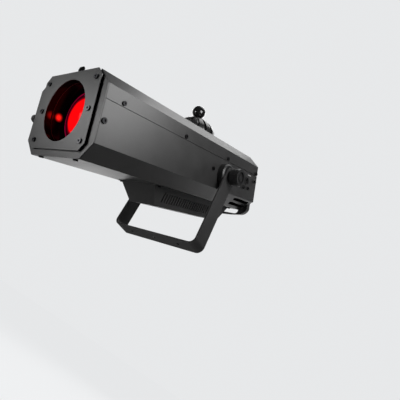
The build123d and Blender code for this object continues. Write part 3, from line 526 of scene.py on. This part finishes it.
def front_lens():
    """A plano-convex lens whose mesh carries its radius, from 0 in the middle to 1 at the rim."""
    sag = LENS_EDGE - LENS_VERTEX
    sphere = (LENS_RADIUS ** 2 + sag ** 2) / (2 * sag)
    radii = [LENS_RADIUS * ring / LENS_RINGS for ring in range(LENS_RINGS + 1)]
    profile = [(radius, -(sphere - math.sqrt(sphere ** 2 - radius ** 2))) for radius in radii]
    profile.append((LENS_RADIUS, LENS_VERTEX - LENS_BACK))
    profile.append((0.0, LENS_VERTEX - LENS_BACK))
    mesh = revolved(profile, LENS_STEPS, facing_front(0, LENS_VERTEX, OPTIC_UP))
    centre = head_point(0, LENS_VERTEX, OPTIC_UP)
    along = (head_point(0, LENS_BACK, OPTIC_UP) - centre).normalized()
    attribute = mesh.attributes.new("lens_radius", "FLOAT", "POINT")
    for vertex in mesh.vertices:
        offset = vertex.co - centre
        radial = (offset - along * offset.dot(along)).length
        attribute.data[vertex.index].value = radial / LENS_RADIUS
    shade(mesh, 40)
    return link("front_lens_piece", mesh, "painted_glow_lens", "head", ("front_lens",))


front_lens()


# ---------------------------------------------------------------- lever ball
BALL_RADIUS = 0.020
BALL_UP = 0.163
IRIS_BACK = 0.431
STEM_RADIUS = 0.0041
STEM_COVER = 0.0012
NECK_RADIUS = 0.0075
NECK_HEIGHT = 0.0009
NECK_BEVEL = 0.0006
BALL_ARCS = 48
BALL_STEPS = 96


def lever_ball():
    """A moulded ball on the lever's stem, flattened into a short neck underneath."""
    neck = -math.sqrt(BALL_RADIUS ** 2 - NECK_RADIUS ** 2)
    start = math.asin(neck / BALL_RADIUS)
    arcs = [start + (math.pi / 2 - start) * step / BALL_ARCS for step in range(BALL_ARCS + 1)]
    profile = [
        (STEM_RADIUS, -BALL_RADIUS + STEM_COVER),
        (STEM_RADIUS, neck - NECK_HEIGHT),
        (NECK_RADIUS - NECK_BEVEL, neck - NECK_HEIGHT),
    ]
    profile += [(BALL_RADIUS * math.cos(a), BALL_RADIUS * math.sin(a)) for a in arcs]
    profile[-1] = (0.0, BALL_RADIUS)
    mesh = revolved(profile, BALL_STEPS, facing_up(0, IRIS_BACK, BALL_UP))
    shade(mesh, 40)
    return link("iris_ball_piece", mesh, "ball_black", "iris_control", ("iris_ball",))


lever_ball()


# ---------------------------------------------------------------- camera, floor and light
CAMERA_PLACE = Vector((0.5532, -0.6317, -0.2578))
CAMERA_LOOK = Vector((-0.668, 0.5409, 0.5110))
CAMERA_RIGHT = Vector((0.7434, 0.4691, 0.4754))
CAMERA_LENS = 30.03
CAMERA_SENSOR = 36.0
CAMERA_SHIFT_X = 0.123
CAMERA_SHIFT_Y = -0.151
CAMERA_CLIP = 0.01


def make_camera():
    look = CAMERA_LOOK.normalized()
    right = (CAMERA_RIGHT - look * CAMERA_RIGHT.dot(look)).normalized()
    up = right.cross(look)
    data = bpy.data.cameras.new("camera")
    data.lens = CAMERA_LENS
    data.sensor_width = CAMERA_SENSOR
    data.shift_x = CAMERA_SHIFT_X
    data.shift_y = CAMERA_SHIFT_Y
    data.clip_start = CAMERA_CLIP
    camera = bpy.data.objects.new("camera", data)
    turn = Matrix((right, up, -look)).transposed().to_4x4()
    camera.matrix_world = Matrix.Translation(CAMERA_PLACE) @ turn
    bpy.context.scene.collection.objects.link(camera)
    bpy.context.scene.camera = camera


FLOOR_DROP = 0.46
FLOOR_HALF = 60.0
FLOOR_GLOW = 0.98
FLOOR_SCATTER_SEEN = 0.11
FLOOR_SCATTER_OTHER = 0.45
STUDIO_TONE = (0.80, 0.81, 0.82)
AMBIENT_TONE = (0.85, 0.87, 0.9)
AMBIENT = 0.09


def make_floor():
    """A pale floor that takes a soft shadow and meets the studio wall without an edge."""
    material, tree, shader = new_material("floor")
    tone = noise(tree, coordinates(tree), 3, 3)
    rays = node(tree, "ShaderNodeLightPath")
    scatter = node(tree, "ShaderNodeVectorMath", operation="SCALE")
    tree.links.new(ramp(tree, tone, 0.2, 0.8, grey(0.72), grey(0.76)), scatter.inputs[0])
    seen = rays.outputs["Is Camera Ray"]
    share = spread(tree, seen, FLOOR_SCATTER_OTHER, FLOOR_SCATTER_SEEN)
    tree.links.new(share, scatter.inputs["Scale"])
    tree.links.new(scatter.outputs["Vector"], shader.inputs["Base Color"])
    shader.inputs["Roughness"].default_value = 0.9
    shader.inputs["Specular IOR Level"].default_value = 0.0
    shader.inputs["Emission Color"].default_value = (*STUDIO_TONE, 1)
    tree.links.new(spread(tree, seen, 0.0, FLOOR_GLOW), shader.inputs["Emission Strength"])
    mesh = bpy.data.meshes.new("floor")
    signs = ((-1, -1), (1, -1), (1, 1), (-1, 1))
    corners = [(FLOOR_HALF * side, FLOOR_HALF * end, 0) for side, end in signs]
    mesh.from_pydata(corners, [], [(0, 1, 2, 3)])
    mesh.materials.append(material)
    floor = bpy.data.objects.new("floor", mesh)
    floor.location = (0, 0, -FLOOR_DROP)
    bpy.context.scene.collection.objects.link(floor)


# Each softbox: its place, what it faces, its two sides and its power in watts.
SOFTBOXES = {
    "side_light": ((0.49, -0.24, 0.32), (0.11, -0.32, 0.04), (0.34, 0.34), 3.0),
    "front_light": ((-0.42, -0.88, -0.10), (0, -0.40, 0.02), (0.30, 0.30), 2.1),
    "under_light": ((-0.62, 0.12, 0.12), (0, -0.28, -0.02), (0.30, 0.30), 0.28),
    "rear_light": ((-0.35, 1.15, 0.80), (0, 0.12, 0.28), (1.50, 1.50), 13),
    "left_light": ((-0.95, 0.25, 0.65), (-0.11, -0.10, 0.20), (1.20, 1.20), 8),
    "top_light": ((-0.12, 0.20, 1.10), (0.09, 0.0, 0.30), (0.60, 1.40), 5.6),
}


def softbox(name, place, aim, size, power):
    data = bpy.data.lights.new(name, "AREA")
    data.shape = "RECTANGLE"
    data.size, data.size_y = size
    data.energy = power
    lamp = bpy.data.objects.new(name, data)
    lamp.location = place
    lamp.rotation_euler = (Vector(aim) - Vector(place)).to_track_quat("-Z", "Y").to_euler()
    lamp.visible_camera = False
    bpy.context.scene.collection.objects.link(lamp)


def make_world():
    """A pale studio: bright where it is looked at, dimmer as a source of light."""
    world = bpy.data.worlds.new("studio")
    world.use_nodes = True
    tree = world.node_tree
    seen = tree.nodes["Background"]
    seen.inputs["Color"].default_value = (*STUDIO_TONE, 1)
    seen.inputs["Strength"].default_value = 1.0
    lighting = node(tree, "ShaderNodeBackground", Color=(*AMBIENT_TONE, 1), Strength=AMBIENT)
    rays = node(tree, "ShaderNodeLightPath")
    choice = node(tree, "ShaderNodeMixShader")
    tree.links.new(rays.outputs["Is Camera Ray"], choice.inputs["Fac"])
    tree.links.new(lighting.outputs["Background"], choice.inputs[1])
    tree.links.new(seen.outputs["Background"], choice.inputs[2])
    tree.links.new(choice.outputs["Shader"], tree.nodes["World Output"].inputs["Surface"])
    bpy.context.scene.world = world


make_camera()
make_floor()
make_world()
for name, (place, aim, size, power) in SOFTBOXES.items():
    softbox(name, place, aim, size, power)
bpy.context.scene.view_settings.view_transform = "Standard"
